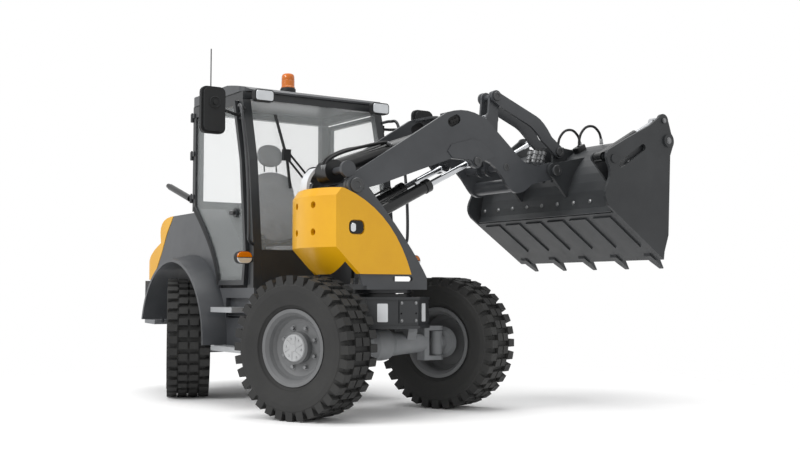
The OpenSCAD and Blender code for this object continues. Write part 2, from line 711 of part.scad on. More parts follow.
// Lever of two plates, with the two bent plates of the link outside them
lever_in = 40;
lever_t = 22;
link_in = lever_in + lever_t + gap + 2;
link_out = link_in + 22;
module tilt_lever() {
    color("#3a3c40") swung() difference() {
        union() {
            pair() prof(lever_in, lever_in + lever_t) {
                dot(pin_h, 60);
                dot(pin_p, 48);
                dot(pin_m, 60);
                polygon([pin_h + [-58, 0], pin_h + [58, 0], pin_p + [46, 0], pin_p + [-46, 0]]);
            }
            bar(pin_p, 26, -link_out, link_out);
        }
        bar(pin_h, 28 + play, -200, 200);
    }
}
module tilt_link() {
    color("#3a3c40") swung() difference() {
        union() {
            pair() prof(link_in, link_out) dot(pin_p, 50);
            pair() prof(link_in, link_out) dot(pin_k, 50);
            pair() prof(link_in, link_out) polygon(concat([pin_p + [-3, 49], pin_p + [60, 20]],
                curve(pin_k + [-254, 280], pin_k + [-170, 247], pin_k + [-85, 120], 4),
                [pin_k + [36, 35], pin_k + [-28, -41]],
                curve(pin_k + [-190, 80], pin_k + [-260, 165], pin_k + [-330, 200], 4),
                [pin_p + [45, -83], pin_p + [-15, -48]]));
        }
        bar(pin_p, 26 + play, -100, 100);
        bar(pin_k, 26, -100, 100);
    }
}

// Bucket, drawn with its floor level and then tipped
module tipped() { swung() translate([edge_r[0], 0, edge_r[1]]) rotate([0, dump_rest, 0]) children(); }
function to_bucket(p) = let (d = p - edge_r)
    [d[0] * cos(dump_rest) - d[1] * sin(dump_rest), d[0] * sin(dump_rest) + d[1] * cos(dump_rest)];
bq = to_bucket(pin_q);
bk = to_bucket(pin_k);
clam_len = norm(clam_eye - clam_base);
clam_y = bucket_half - 110;
side_t = 25;
blade_t = 26;
blade_half = bucket_half - side_t - 10;
// Arc inside the blade's thickness, where what is welded to it ends
function weld(a0, a1) = arc(blade_c, blade_r - blade_t / 2, a0, a1, 5);

module bucket_back() {
    color("#2e3033") tipped() difference() {
        union() {
            prof(-blade_half, blade_half) polygon(concat(arc(blade_c, blade_r, 124, 216, 12),
                arc(blade_c, blade_r - blade_t, 216, 124, 12)));
            // Wear strip along the lower edge
            prof(20 - blade_half, blade_half - 20) polygon(concat(arc(blade_c, blade_r + 11, 204, 214, 2),
                arc(blade_c, blade_r - 8, 214, 204, 2)));
            // End plates that carry the clam's pivots
            pair() prof(blade_half - 30, blade_half - 1) polygon(concat(weld(174, 125),
                [clam_p + [55, 24], clam_p + [55, -36]], arc(blade_c, blade_r - 75, 132, 170, 5)));
            // Ears for the boom's tip
            pair() prof(boom_out + 8, boom_out + 36) {
                dot(bq, 62);
                polygon(concat([bq + [-45, -42], bq + [-30, 54]], weld(163, 206)));
            }
            // Ears for the tilt link
            pair() prof(link_in - gap - 24, link_in - gap) {
                dot(bk, 55);
                polygon(concat([bk + [-25, -49], bk + [0, 55]], weld(148, 192)));
            }
            // Brackets for the clam cylinders
            pair() prof(clam_y - 65, clam_y - 47) {
                dot(clam_base, 40);
                polygon(concat([clam_base + [0, -39], clam_base + [0, 39]], weld(174, 194)));
            }
            pair() bar(clam_base, 20, clam_y - 55, clam_y + 45);
        }
        bar(bq, 32 + play, -400, 400);
        bar(clam_p, 25 + play, -1000, 1000);
    }
}

tooth_half = bucket_half - 111;
module tooth() {
    intersection() {
        prof(-40, 40) polygon([[540, 24], [560, 44], [640, 40], [745, 2], [745, -6], [560, -14], [540, 0]]);
        plan(-50, 100) polygon([[530, -34], [640, -34], [746, -20], [746, 20], [640, 34], [530, 34]]);
    }
}
module bucket_clam() {
    color("#2e3033") tipped() {
        // Floor and cutting edge
        prof(-bucket_half, bucket_half) polygon([[0, 0], [0, 24], [520, 24], [632, 6], [632, 0]]);
        for (i = [0 : teeth - 1]) translate([0, tooth_half * (2 * i / (teeth - 1) - 1), 0]) tooth();
        // Wear pads under the floor
        for (i = [0 : 5]) translate([0, (i - 2.5) * bucket_w / 6.4, 0]) blk([40, -95, -12], [440, 95, 1]);
        // Side plates
        pair() difference() {
            prof(bucket_half - side_t, bucket_half) {
                polygon(concat([[0, 0], [632, 0], [604, 60], [570, 196], [240, 745], clam_p + [70, 25],
                    clam_eye + [52, 28], clam_eye + [-38, 36], [-72, 811], [-217, 563]],
                    curve([-320, 375], [-345, 345], [-315, 300], 3),
                    curve([-285, 275], [-200, 250], [-192, 150], 4),
                    curve([-188, 110], [-175, 20], [-90, 2], 4)));
                dot(clam_eye, 55);
                dot(clam_p, lobe_r);
            }
            prof(bucket_half - side_t - 5, bucket_half + 5) polygon(oblong([-158, 350], [-40, 610], 26));
        }
        // Pivot pins, bosses and cylinder pins
        pair() bar(clam_p, 25, bucket_half - 75, bucket_half + boss_t);
        pair() bar(clam_p, 50, bucket_half - 1, bucket_half + boss_t);
        pair() bar(clam_eye, 20, bucket_half - 65, bucket_half + 10);
        pair() bar([-245, 338], 34, bucket_half - 1, bucket_half + 10);
    }
}

module clam_barrels() {
    color("#202124") tipped() pair() translate([0, clam_y, 0]) along(clam_base, clam_eye) difference() {
        union() {
            xbar(36, 10, 440);
            eye(0, 38, 80);
        }
        eye(0, 20, 120);
        xbar(20 + play, 100, 500);
    }
}
module clam_rods() {
    color("silver") tipped() pair() translate([0, clam_y, 0]) along(clam_base, clam_eye) difference() {
        union() {
            xbar(20, 260, clam_len - 28);
            eye(clam_len, 34, 48);
        }
        eye(clam_len, 21, 120);
    }
}

// Steering knuckles and wheels, drawn on the left with the axle line along Y
module corner(front, side) {
    place() translate([front ? 0 : rear_x, side * king_y, axle_z])
        rotate([0, 0, front ? steer_rest : -steer_rest]) mirror([0, side > 0 ? 0 : 1, 0]) children();
}
spindle_r = 56;
spindle_end = king_offset + 105;
module knuckle(front, side) {
    color("slategray") corner(front, side) difference() {
        union() {
            translate([0, 0, -90]) cylinder(r = 46, h = 180);
            rotate([-90, 0, 0]) cylinder(r = spindle_r, h = spindle_end);
            translate([0, 68, 0]) rotate([-90, 0, 0]) cylinder(r1 = 96, r2 = 120, h = 32);
            // Steering arm
            plan(-84, -58) polygon([[-30, -10], [30, -10], [22, 60], [-22, 60]]);
        }
        translate([0, 0, -200]) cylinder(r = king_r + play, h = 400);
    }
}
module knuckle_fl() { knuckle(true, 1); }
module knuckle_fr() { knuckle(true, -1); }
module knuckle_rl() { knuckle(false, 1); }
module knuckle_rr() { knuckle(false, -1); }

module wheel_turn() { translate([0, king_offset, 0]) rotate([-90, 0, 0]) rotate_extrude() children(); }
bead_r = 255;
bead_y = 120;
carcass_r = tyre_r - 27;
tyre_half = tyre_w / 2;
// Ring of lugs from y0 to y1, tapered to flat tops; turn shifts it by a share of the pitch
lug_pitch = 360 / lugs;
lug_foot = 0.36 * lug_pitch;
lug_top = 0.29 * lug_pitch;
lug_base_r = tyre_r - 67;
module lug_ring(y0, y1, turn, top_r) {
    flanks = [[-lug_foot, lug_base_r], [-lug_top, top_r], [lug_top, top_r], [lug_foot, lug_base_r]];
    translate([0, king_offset, 0]) rotate([-90, 0, 0]) plan(y0, y1) difference() {
        polygon([for (i = [0 : lugs - 1], k = flanks) let (a = (i + turn) * lug_pitch + k[0])
            k[1] * [cos(a), sin(a)]]);
        circle(r = lug_base_r - 8);
    }
}
// Half the carcass, as radius and distance out
carcass = [[bead_r, bead_y], [275, 135], [292, 150], [300, 162], [330, 165],
    [400, tyre_half], [436, tyre_half],
    [466, tyre_half - 24], [carcass_r, tyre_half - 50]];
module tyre(front, side) {
    color("#1b1b1b") corner(front, side) {
        wheel_turn() polygon(concat(carcass, [for (p = backwards(carcass)) [p[0], -p[1]]]));
        // Shoulder lugs, then two middle rows half a pitch on
        for (s = [0, 1]) translate([0, s * 2 * king_offset, 0]) mirror([0, s, 0]) {
            lug_ring(92, tyre_half - 4, 0, tyre_r / cos(lug_top));
            lug_ring(8, 80, 0.5, tyre_r);
        }
    }
}
module rim(front, side) {
    color("silver") corner(front, side) difference() {
        wheel_turn() polygon([[bead_r, -bead_y], [272, -134], [272, -142], [247, -142], [228, -118],
            [217, -90], [217, 18], [178, 38], [0, 38], [0, 121], [98, 121], [112, 110], [112, 57], [178, 57],
            [200, 64], [217, 88], [228, 118], [247, 142], [272, 142], [272, 134], [bead_r, bead_y]]);
        rotate([-90, 0, 0]) cylinder(r = spindle_r + play, h = spindle_end + 2);
    }
}
module tyre_fl() { tyre(true, 1); }
module tyre_fr() { tyre(true, -1); }
module tyre_rl() { tyre(false, 1); }
module tyre_rr() { tyre(false, -1); }
module rim_fl() { rim(true, 1); }
module rim_fr() { rim(true, -1); }
module rim_rl() { rim(false, 1); }
module rim_rr() { rim(false, -1); }

chassis();
front_axle();
rear_axle();
engine();
body_panels();
rear_counterweight();
hood();
cab_tub();
cab_frame();
cab_roof();
cab_glass();
seat();
controls();
steps();
lamps();
beacon();
mirrors();
exhaust();
antenna();
wiper();
door_right();
door_right_glass();
door_left();
door_left_glass();
turret();
turret_weight();
boom();
lift_barrels();
lift_rods();
tilt_barrel();
tilt_rod();
tilt_lever();
tilt_link();
bucket_back();
bucket_clam();
clam_barrels();
clam_rods();
knuckle_fl();
knuckle_fr();
knuckle_rl();
knuckle_rr();
tyre_fl();
tyre_fr();
tyre_rl();
tyre_rr();
rim_fl();
rim_fr();
rim_rl();
rim_rr();
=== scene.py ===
# Compact swing loader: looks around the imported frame
import math

import bmesh
import bpy
from mathutils import Matrix, Vector


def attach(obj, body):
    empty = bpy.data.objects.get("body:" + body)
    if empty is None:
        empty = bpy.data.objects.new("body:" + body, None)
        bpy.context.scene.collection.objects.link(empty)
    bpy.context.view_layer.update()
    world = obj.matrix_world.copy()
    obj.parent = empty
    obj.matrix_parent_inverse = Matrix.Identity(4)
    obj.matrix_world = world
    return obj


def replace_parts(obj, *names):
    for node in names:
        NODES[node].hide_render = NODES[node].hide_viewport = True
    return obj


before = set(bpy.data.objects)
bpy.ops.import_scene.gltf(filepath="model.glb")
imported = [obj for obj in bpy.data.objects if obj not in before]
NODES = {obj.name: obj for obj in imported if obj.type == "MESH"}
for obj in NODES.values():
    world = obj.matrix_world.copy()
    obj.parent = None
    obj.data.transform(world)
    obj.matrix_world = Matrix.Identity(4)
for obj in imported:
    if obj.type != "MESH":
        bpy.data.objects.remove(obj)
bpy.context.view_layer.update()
scene = bpy.context.scene

# Place of the machine's origin, on the ground under the front axle, in the shared frame's metres
SHIFT = Vector((1.0925, -0.57712449, 0.0))
MM = 1000.0
SIDES = (-1.0, 1.0)

# Axles, and the wheels' steering at rest
REAR_X = -1950.0
AXLE_Z = 505.0
KING_Y = 527.5
STEER = math.radians(22.5)

# Pins of the arm: distance along the arm and height, in millimetres
BOOM_FOOT = (-387.0, 1652.0)
LIFT_FOOT = (-300.0, 1385.0)
LIFT_EYE = (725.0, 1901.0)
LEVER_FOOT = (1022.0, 1877.0)
LEVER_TOP = (1065.0, 2468.0)
BOOM_TIP = (1500.0, 1875.0)
LINK_EYE = (1740.0, 2065.0)

# Bucket: its origin on the arm and its tip at rest, then the blade's circle and the clam's pins in it
BUCKET_AT = (1608.0, 1505.0)
DUMP = math.radians(34.0)
BLADE_MID = (474.0, 388.0)
BLADE_R = 590.0
CLAM_PIN = (150.0, 826.0)
CLAM_EYE = (25.0, 933.0)


def M(x, y, z):
    """Machine coordinates in millimetres to metres in the shared frame."""
    return Vector((x / MM, y / MM, z / MM)) + SHIFT


def U(u, v, z):
    """Arm coordinates in millimetres, the arm swung to the left, to metres in the shared frame."""
    return M(-v, u, z)


def B(x, v, z):
    """Bucket coordinates in millimetres, floor tipped down, to metres in the shared frame."""
    u = BUCKET_AT[0] + x * math.cos(DUMP) + z * math.sin(DUMP)
    return U(u, v, BUCKET_AT[1] - x * math.sin(DUMP) + z * math.cos(DUMP))


def at_pin(pin, v):
    """Spot on a pin of the arm, v to the side."""
    return U(pin[0], v, pin[1])


def on_blade(deg, r, v):
    """Spot r from the middle of the blade's circle, v to the side, and the way out there."""
    a = math.radians(deg)
    spot = B(BLADE_MID[0] + r * math.cos(a), v, BLADE_MID[1] + r * math.sin(a))
    way = (B(math.cos(a) * MM, 0.0, math.sin(a) * MM) - B(0.0, 0.0, 0.0)).normalized()
    return spot, way


# Camera fitted to the photograph
cam_data = bpy.data.cameras.new("camera")
cam_data.lens = 48.825
cam_data.sensor_width = 36.0
cam_data.clip_end = 200.0
cam = bpy.data.objects.new("camera", cam_data)
cam.location = Vector((6.819, -4.437, 0.894)) + SHIFT
cam.rotation_euler = (math.radians(93.54), 0.0, math.radians(55.86))
scene.collection.objects.link(cam)
scene.camera = cam


# Material helpers
def new_mat(name):
    """Material with one principled shader; gives the material, its tree and the shader."""
    mat = bpy.data.materials.new(name)
    mat.use_nodes = True
    nt = mat.node_tree
    nt.nodes.clear()
    out = nt.nodes.new("ShaderNodeOutputMaterial")
    sh = nt.nodes.new("ShaderNodeBsdfPrincipled")
    nt.links.new(sh.outputs[0], out.inputs[0])
    return mat, nt, sh


def noise(nt, scale, detail=4.0, rough=0.55, coord=None):
    """Noise over the piece's own coordinates."""
    tex = nt.nodes.new("ShaderNodeTexNoise")
    tex.inputs["Scale"].default_value = scale
    tex.inputs["Detail"].default_value = detail
    tex.inputs["Roughness"].default_value = rough
    if coord is None:
        coord = nt.nodes.new("ShaderNodeTexCoord").outputs["Object"]
    nt.links.new(coord, tex.inputs["Vector"])
    return tex.outputs["Fac"]


def ramp(nt, fac, stops):
    """Colour along stops of position and linear colour."""
    node = nt.nodes.new("ShaderNodeValToRGB")
    el = node.color_ramp.elements
    while len(el) < len(stops):
        el.new(0.5)
    for e, (pos, col) in zip(el, stops):
        e.position = pos
        e.color = (col[0], col[1], col[2], 1.0)
    nt.links.new(fac, node.inputs["Fac"])
    return node.outputs["Color"]


def spread(nt, fac, lo, hi):
    """Factor from 0 to 1 laid onto a range."""
    node = nt.nodes.new("ShaderNodeMapRange")
    node.inputs["To Min"].default_value = lo
    node.inputs["To Max"].default_value = hi
    nt.links.new(fac, node.inputs["Value"])
    return node.outputs[0]


def bump(nt, sh, height, strength, dist):
    """Fine relief on a shader."""
    node = nt.nodes.new("ShaderNodeBump")
    node.inputs["Strength"].default_value = strength
    node.inputs["Distance"].default_value = dist
    nt.links.new(height, node.inputs["Height"])
    nt.links.new(node.outputs[0], sh.inputs["Normal"])


def srgb(r, g, b):
    """Linear colour of screen values from 0 to 255."""
    def lin(c):
        c = c / 255.0
        return c / 12.92 if c <= 0.04045 else ((c + 0.055) / 1.055) ** 2.4
    return (lin(r), lin(g), lin(b))


def paint(name, dark, light, rough=(0.32, 0.45), coat=0.3, grain=260.0, bumpy=0.06, metal=0.0):
    """Sprayed paint: slow colour drift, fine orange peel, uneven gloss."""
    mat, nt, sh = new_mat(name)
    coord = nt.nodes.new("ShaderNodeTexCoord").outputs["Object"]
    drift = noise(nt, scale=2.2, detail=5.0, rough=0.6, coord=coord)
    tone = ramp(nt, drift, [(0.3, srgb(*dark)), (0.7, srgb(*light))])
    nt.links.new(tone, sh.inputs["Base Color"])
    gloss = noise(nt, scale=9.0, detail=3.0, rough=0.5, coord=coord)
    nt.links.new(spread(nt, gloss, rough[0], rough[1]), sh.inputs["Roughness"])
    sh.inputs["Coat Weight"].default_value = coat
    sh.inputs["Coat Roughness"].default_value = 0.18
    sh.inputs["Metallic"].default_value = metal
    sh.inputs["Specular IOR Level"].default_value = 0.35
    peel = noise(nt, scale=grain, detail=2.0, rough=0.5, coord=coord)
    bump(nt, sh, peel, strength=bumpy, dist=0.0006)
    return mat


# Finishes: darkest and lightest tone as screen values, then what differs from plain paint
GREY = paint("grey_paint", (58, 60, 63), (70, 72, 75))
DARK = paint("dark_paint", (36, 38, 40), (46, 48, 50), rough=(0.35, 0.5))
BUCKET = paint("bucket_paint", (40, 42, 44), (52, 54, 56), rough=(0.4, 0.58), coat=0.15, bumpy=0.1)
YELLOW = paint("yellow_paint", (212, 154, 3), (222, 166, 8), rough=(0.34, 0.44))
RIM = paint("rim_paint", (96, 97, 98), (114, 115, 116), rough=(0.4, 0.52), coat=0.1)
HUB = paint("hub_cap", (150, 151, 152), (172, 173, 174), rough=(0.35, 0.5), coat=0.1, bumpy=0.15)
AXLE = paint("axle_cast", (120, 122, 124), (142, 144, 146),
             rough=(0.5, 0.65), coat=0.0, grain=120.0, bumpy=0.3)
CAST = paint("cast_weight", (104, 106, 109), (122, 124, 127),
             rough=(0.45, 0.6), coat=0.05, grain=90.0, bumpy=0.3)
BLACK = paint("black_paint", (18, 19, 20), (28, 29, 30), rough=(0.28, 0.4))
PLASTIC = paint("black_plastic", (20, 21, 22), (30, 31, 32),
                rough=(0.5, 0.65), coat=0.0, grain=700.0, bumpy=0.35)
STEP = paint("step_metal", (150, 152, 154), (180, 182, 184), rough=(0.35, 0.5), coat=0.0, metal=0.6)
PIN = paint("pin_steel", (66, 67, 68), (88, 89, 90),
            rough=(0.3, 0.45), coat=0.1, grain=300.0, bumpy=0.15, metal=0.6)
RAIL = paint("rail_tube", (52, 53, 55), (70, 71, 73),
             rough=(0.3, 0.42), coat=0.2, grain=300.0, bumpy=0.1, metal=0.4)
BOLT = paint("bolt_zinc", (120, 121, 122), (150, 151, 152),
             rough=(0.3, 0.45), coat=0.0, grain=400.0, bumpy=0.2, metal=0.85)
RUBBER = paint("tyre_rubber", (38, 38, 38), (50, 50, 49),
               rough=(0.62, 0.8), coat=0.0, grain=180.0, bumpy=0.25)
HOSE = paint("hose_rubber", (16, 16, 17), (26, 26, 27),
             rough=(0.45, 0.6), coat=0.0, grain=900.0, bumpy=0.4)
SEAT = paint("seat_cloth", (112, 113, 116), (146, 147, 150),
             rough=(0.8, 0.95), coat=0.0, grain=420.0, bumpy=0.6)
CHROME = paint("chrome_rod", (200, 202, 205), (215, 217, 220),
               rough=(0.08, 0.16), coat=0.0, bumpy=0.02, metal=1.0)
AMBER = paint("amber_lens", (188, 84, 2), (214, 122, 6),
              rough=(0.06, 0.12), coat=0.6, grain=90.0, bumpy=0.12)
LENS = paint("lamp_lens", (196, 199, 202), (226, 229, 232),
             rough=(0.06, 0.14), coat=0.5, grain=70.0, bumpy=0.25, metal=0.5)
LABEL = paint("blank_plate", (196, 198, 200), (214, 216, 218), rough=(0.35, 0.45), coat=0.1)
MIRROR = paint("mirror_glass", (190, 194, 198), (206, 210, 214),
               rough=(0.02, 0.05), coat=0.0, bumpy=0.0, metal=1.0)


def glass_mat():
    """Clear glass, a little uneven in its gloss."""
    mat, nt, sh = new_mat("cab_glass")
    sh.inputs["Base Color"].default_value = (0.8, 0.84, 0.84, 1.0)
    sh.inputs["Alpha"].default_value = 0.12
    sh.inputs["IOR"].default_value = 1.45
    nt.links.new(spread(nt, noise(nt, scale=6.0), 0.02, 0.06), sh.inputs["Roughness"])
    return mat


GLASS = glass_mat()

FINISH = {
    "chassis": DARK, "front_axle": AXLE, "rear_axle": AXLE, "engine": CAST, "body_panels": GREY,
    "rear_counterweight": CAST, "hood": YELLOW, "cab_tub": DARK, "cab_frame": DARK, "cab_roof": GREY,
    "cab_glass": GLASS, "seat": SEAT, "controls": PLASTIC, "steps": STEP, "lamps": PLASTIC,
    "beacon": AMBER, "mirrors": PLASTIC, "exhaust": BLACK, "antenna": PLASTIC, "wiper": PLASTIC,
    "door_right": DARK, "door_right_glass": GLASS, "door_left": DARK, "door_left_glass": GLASS,
    "turret": GREY, "turret_weight": YELLOW, "boom": GREY, "lift_barrels": BLACK, "lift_rods": CHROME,
    "tilt_barrel": BLACK, "tilt_rod": CHROME, "tilt_lever": GREY, "tilt_link": GREY,
    "bucket_back": BUCKET, "bucket_clam": BUCKET, "clam_barrels": BLACK, "clam_rods": CHROME,
}
# Wheels: axle, side and steering angle
CORNERS = {
    "fl": (0.0, 1, STEER), "fr": (0.0, -1, STEER),
    "rl": (REAR_X, 1, -STEER), "rr": (REAR_X, -1, -STEER),
}
for c in CORNERS:
    FINISH["knuckle_" + c] = AXLE
    FINISH["tyre_" + c] = RUBBER
    FINISH["rim_" + c] = RIM
for name, obj in NODES.items():
    obj.data.materials.clear()
    obj.data.materials.append(FINISH[name])

# Shape helpers
SHARP = math.radians(32.0)


def piece(name, bm, mat, body):
    """Turn a mesh in the making into a piece that rides on a body."""
    bmesh.ops.recalc_face_normals(bm, faces=bm.faces)
    mesh = bpy.data.meshes.new(name)
    bm.to_mesh(mesh)
    bm.free()
    mesh.materials.append(mat)
    mesh.shade_smooth()
    mesh.set_sharp_from_angle(angle=SHARP)
    obj = bpy.data.objects.new(name, mesh)
    scene.collection.objects.link(obj)
    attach(obj, body)
    return obj


def facing(point, axis):
    """Frame at a point whose Z looks along axis."""
    return Matrix.Translation(point) @ Vector(axis).to_track_quat("Z", "Y").to_matrix().to_4x4()


def arm_side(s):
    """Turn of a plate that stands along the arm and is thick toward side s."""
    return Matrix(((0, 0, -s, 0), (1, 0, 0, 0), (0, 1, 0, 0), (0, 0, 0, 1)))


def cab_side(s):
    """Turn of a plate that stands along the machine and is thick toward side s."""
    return Matrix(((1, 0, 0, 0), (0, 0, s, 0), (0, 1, 0, 0), (0, 0, 0, 1)))


# Turns of plates that stand across the machine and look ahead or back
FORWARD = Matrix(((0, 0, 1, 0), (1, 0, 0, 0), (0, 1, 0, 0), (0, 0, 0, 1)))
BACKWARD = Matrix(((0, 0, -1, 0), (-1, 0, 0, 0), (0, 1, 0, 0), (0, 0, 0, 1)))


def lathe(bm, profile, mtx, seg=24):
    """Turn a profile of radius and height, in millimetres, about the frame's Z."""
    rings = []
    for r, h in profile:
        if r == 0.0:
            rings.append([bm.verts.new(mtx @ Vector((0.0, 0.0, h / MM)))])
            continue
        ring = []
        for i in range(seg):
            a = 2.0 * math.pi * i / seg
            ring.append(bm.verts.new(mtx @ (Vector((r * math.cos(a), r * math.sin(a), h)) / MM)))
        rings.append(ring)
    for lo, hi in zip(rings, rings[1:]):
        for i in range(seg):
            quad = [lo[i % len(lo)], lo[(i + 1) % len(lo)], hi[(i + 1) % len(hi)], hi[i % len(hi)]]
            bm.faces.new(list(dict.fromkeys(quad)))


def slab(bm, outline, t, mtx, edge=0.0):
    """Plate of an outline in millimetres, t thick along the frame's Z, its upper rim chamfered."""
    n = len(outline)
    cx = sum(p[0] for p in outline) / n
    cy = sum(p[1] for p in outline) / n
    levels = [(0.0, 0.0), (t - edge, 0.0), (t, edge)]
    if edge == 0.0:
        levels = [(0.0, 0.0), (t, 0.0)]
    loops = []
    for h, inset in levels:
        loop = []
        for x, y in outline:
            d = math.hypot(x - cx, y - cy)
            k = 1.0 - inset / d
            loop.append(bm.verts.new(mtx @ (Vector((cx + (x - cx) * k, cy + (y - cy) * k, h)) / MM)))
        loops.append(loop)
    for lo, hi in zip(loops, loops[1:]):
        for i in range(n):
            bm.faces.new([lo[i], lo[(i + 1) % n], hi[(i + 1) % n], hi[i]])
    bm.faces.new(loops[0][::-1])
    bm.faces.new(loops[-1])


def arc(cx, cy, r, a0, a1, n):
    """Points of an arc in n steps, angles in degrees."""
    pts = []
    for i in range(n + 1):
        a = math.radians(a0 + (a1 - a0) * i / n)
        pts.append((cx + r * math.cos(a), cy + r * math.sin(a)))
    return pts


def rounded(x0, y0, x1, y1, r):
    """Outline of a rectangle with round corners."""
    return (arc(x1 - r, y1 - r, r, 0, 90, 5) + arc(x0 + r, y1 - r, r, 90, 180, 5)
            + arc(x0 + r, y0 + r, r, 180, 270, 5) + arc(x1 - r, y0 + r, r, 270, 360, 5))


def bolt(bm, point, axis, r, h=10.0):
    """Hexagon head, r in radius and h high, on a washer."""
    f = facing(point, axis)
    wide = r * 1.35
    low = 2.5
    lathe(bm, [(0.0, 0.0), (wide, 0.0), (wide, low), (0.0, low)], f, 20)
    lathe(bm, [(0.0, low), (r, low), (r, h - 2.0), (r * 0.82, h), (0.0, h)], f, 6)


def pin_head(bm, point, axis, r, h=14.0):
    """Turned pin head with a chamfer and a recessed middle."""
    cut = 4.0
    rim = [(0.0, 0.0), (r, 0.0), (r, h - cut), (r - cut, h)]
    lathe(bm, rim + [(r * 0.5, h), (r * 0.45, h - cut), (0.0, h - cut)], facing(point, axis), 32)


def smooth_path(points, n=8):
    """Even curve through the points, n steps between two of them."""
    pts = [Vector(p) for p in points]
    ends = [pts[0] * 2.0 - pts[1]] + pts + [pts[-1] * 2.0 - pts[-2]]
    path = []
    for a, b, c, d in zip(ends, ends[1:], ends[2:], ends[3:]):
        for i in range(n):
            t = i / n
            path.append(0.5 * (2.0 * b + (c - a) * t + (2.0 * a - 5.0 * b + 4.0 * c - d) * t * t
                               + (3.0 * b - a - 3.0 * c + d) * t ** 3))
    path.append(pts[-1])
    return path


def pipe(name, points, r, mat, body):
    """Round tube along a curve through the points, r in millimetres."""
    path = smooth_path(points)
    data = bpy.data.curves.new(name, "CURVE")
    data.dimensions = "3D"
    data.bevel_depth = r / MM
    data.bevel_resolution = 4
    data.use_fill_caps = True
    spline = data.splines.new("POLY")
    spline.points.add(len(path) - 1)
    for p, q in zip(spline.points, path):
        p.co = (q.x, q.y, q.z, 1.0)
    data.materials.append(mat)
    obj = bpy.data.objects.new(name, data)
    scene.collection.objects.link(obj)
    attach(obj, body)
    return obj, path


def hose(name, v, route, r, body):
    """Hose along a route on the arm, v to the side, with a crimped fitting at each end."""
    obj, path = pipe(name, [U(u, v, z) for u, z in route], r, HOSE, body)
    bm = bmesh.new()
    crimp = [(r + 1.0, 0.0), (r + 5.0, 0.0), (r + 5.0, 14.0), (r + 3.0, 16.0),
             (r + 3.0, 44.0), (r + 0.5, 48.0)]
    for end, after in ((path[0], path[1]), (path[-1], path[-2])):
        lathe(bm, crimp, facing(end, after - end), 16)
    fit = piece(name + "_fittings", bm, BOLT, body)


# Hoses: two over the tilt cylinder, three loops in the turret, two on the bucket
HOSE_R = 12.0
BUCKET_HOSE_R = 11.0
VALVE_V = 130.0
for v, lift in ((-58.0, 0.0), (-22.0, 8.0)):
    route = [(-496, 1768), (-505, 1800 + lift), (-478, 1850 + lift), (-410, 1892 + lift),
             (-310, 1932 + lift), (-190, 1968), (-70, 1999), (20, 2016), (70, 1996)]
    hose("hose_tilt_%d" % abs(v), v, route, HOSE_R, "boom")
for v, top in ((-85.0, 1530.0), (-52.0, 1480.0), (60.0, 1500.0)):
    route = [(-30, 950), (-26, 1080), (0, 1240), (34, 1380), (28, top - 60), (-28, top),
             (-110, top - 30), (-165, top - 130), (-185, 1200), (-195, 1060), (-200, 950)]
    hose("hose_turret_%d" % (100 + v), v, route, HOSE_R, "turret")
for v in (-VALVE_V, VALVE_V):
    route = [(1941, 2086), (1926, 2140), (1945, 2225), (2010, 2292), (2095, 2305),
             (2160, 2262), (2184, 2200), (2188, 2160)]
    hose("hose_bucket_%d" % (200 + v), v, route, BUCKET_HOSE_R, "bucket")

# Wheels: nuts on the disc, planet cover on the hub, faces measured from the king pin in metres
UP = Vector((0.0, 0.0, 1.0))
DISC_FACE = 0.2071
NUT_CIRCLE = 0.146
NUTS = 8
HUB_FACE = 0.2711
RIBS = 6
COVER = [(0.0, 0.0), (96.0, 0.0), (92.0, 6.0), (84.0, 8.0), (80.0, 6.0),
         (28.0, 9.0), (24.0, 13.0), (0.0, 13.0)]
COVER_RIB = [(26.0, -3.0), (78.0, 24.0), (76.0, 30.0), (24.0, 4.0)]
COVER_BOLT = [(0.0, 8.0), (7.0, 8.0), (7.0, 13.0), (0.0, 13.0)]
for c, (x, side, a) in CORNERS.items():
    axis = Vector((-side * math.sin(a), side * math.cos(a), 0.0))
    across = Vector((math.cos(a), math.sin(a), 0.0))
    king = M(x, side * KING_Y, AXLE_Z)
    bm = bmesh.new()
    for i in range(NUTS):
        t = 2.0 * math.pi * (i + 0.5) / NUTS
        spot = king + axis * DISC_FACE + (across * math.cos(t) + UP * math.sin(t)) * NUT_CIRCLE
        bolt(bm, spot, axis, r=15.0, h=20.0)
    piece("nuts_" + c, bm, BOLT, "wheel_" + c)
    bm = bmesh.new()
    hub = facing(king + axis * HUB_FACE, axis)
    lathe(bm, COVER, hub, 40)
    for i in range(RIBS):
        turn = hub @ Matrix.Rotation(math.radians(360.0 / RIBS * i), 4, "Z")
        slab(bm, COVER_RIB, 11.0, turn)
        lathe(bm, COVER_BOLT, turn @ Matrix.Translation((0.066, -0.01, 0.0)), 6)
    piece("cover_" + c, bm, HUB, "wheel_" + c)

# Axle saddles and the front box: bolts and two blank plates
SADDLE_FOOT = 594.8
BOX_FRONT = 388.0
bm = bmesh.new()
for x in (-80.0, 80.0):
    for y in (-262.0, -218.0, 218.0, 262.0):
        bolt(bm, M(x, y, SADDLE_FOOT), (0.0, 0.0, -1.0), r=13.0, h=14.0)
for y in (-62.0, 62.0):
    for z in (690.0, 816.0):
        bolt(bm, M(BOX_FRONT, y, z), (1.0, 0.0, 0.0), r=9.0, h=9.0)
piece("axle_bolts", bm, BOLT, "chassis")
bm = bmesh.new()
for s in SIDES:
    normal = Vector((182.0, s * 125.0, 0.0)).normalized()
    middle = M(317.5, s * 179.0, 746.0) + normal * 0.0003
    slab(bm, rounded(-66.0, -38.0, 66.0, 38.0, 8.0), 1.5,
         facing(middle, normal) @ Matrix.Rotation(math.pi / 2, 4, "Z"))
piece("blank_plates", bm, LABEL, "chassis")

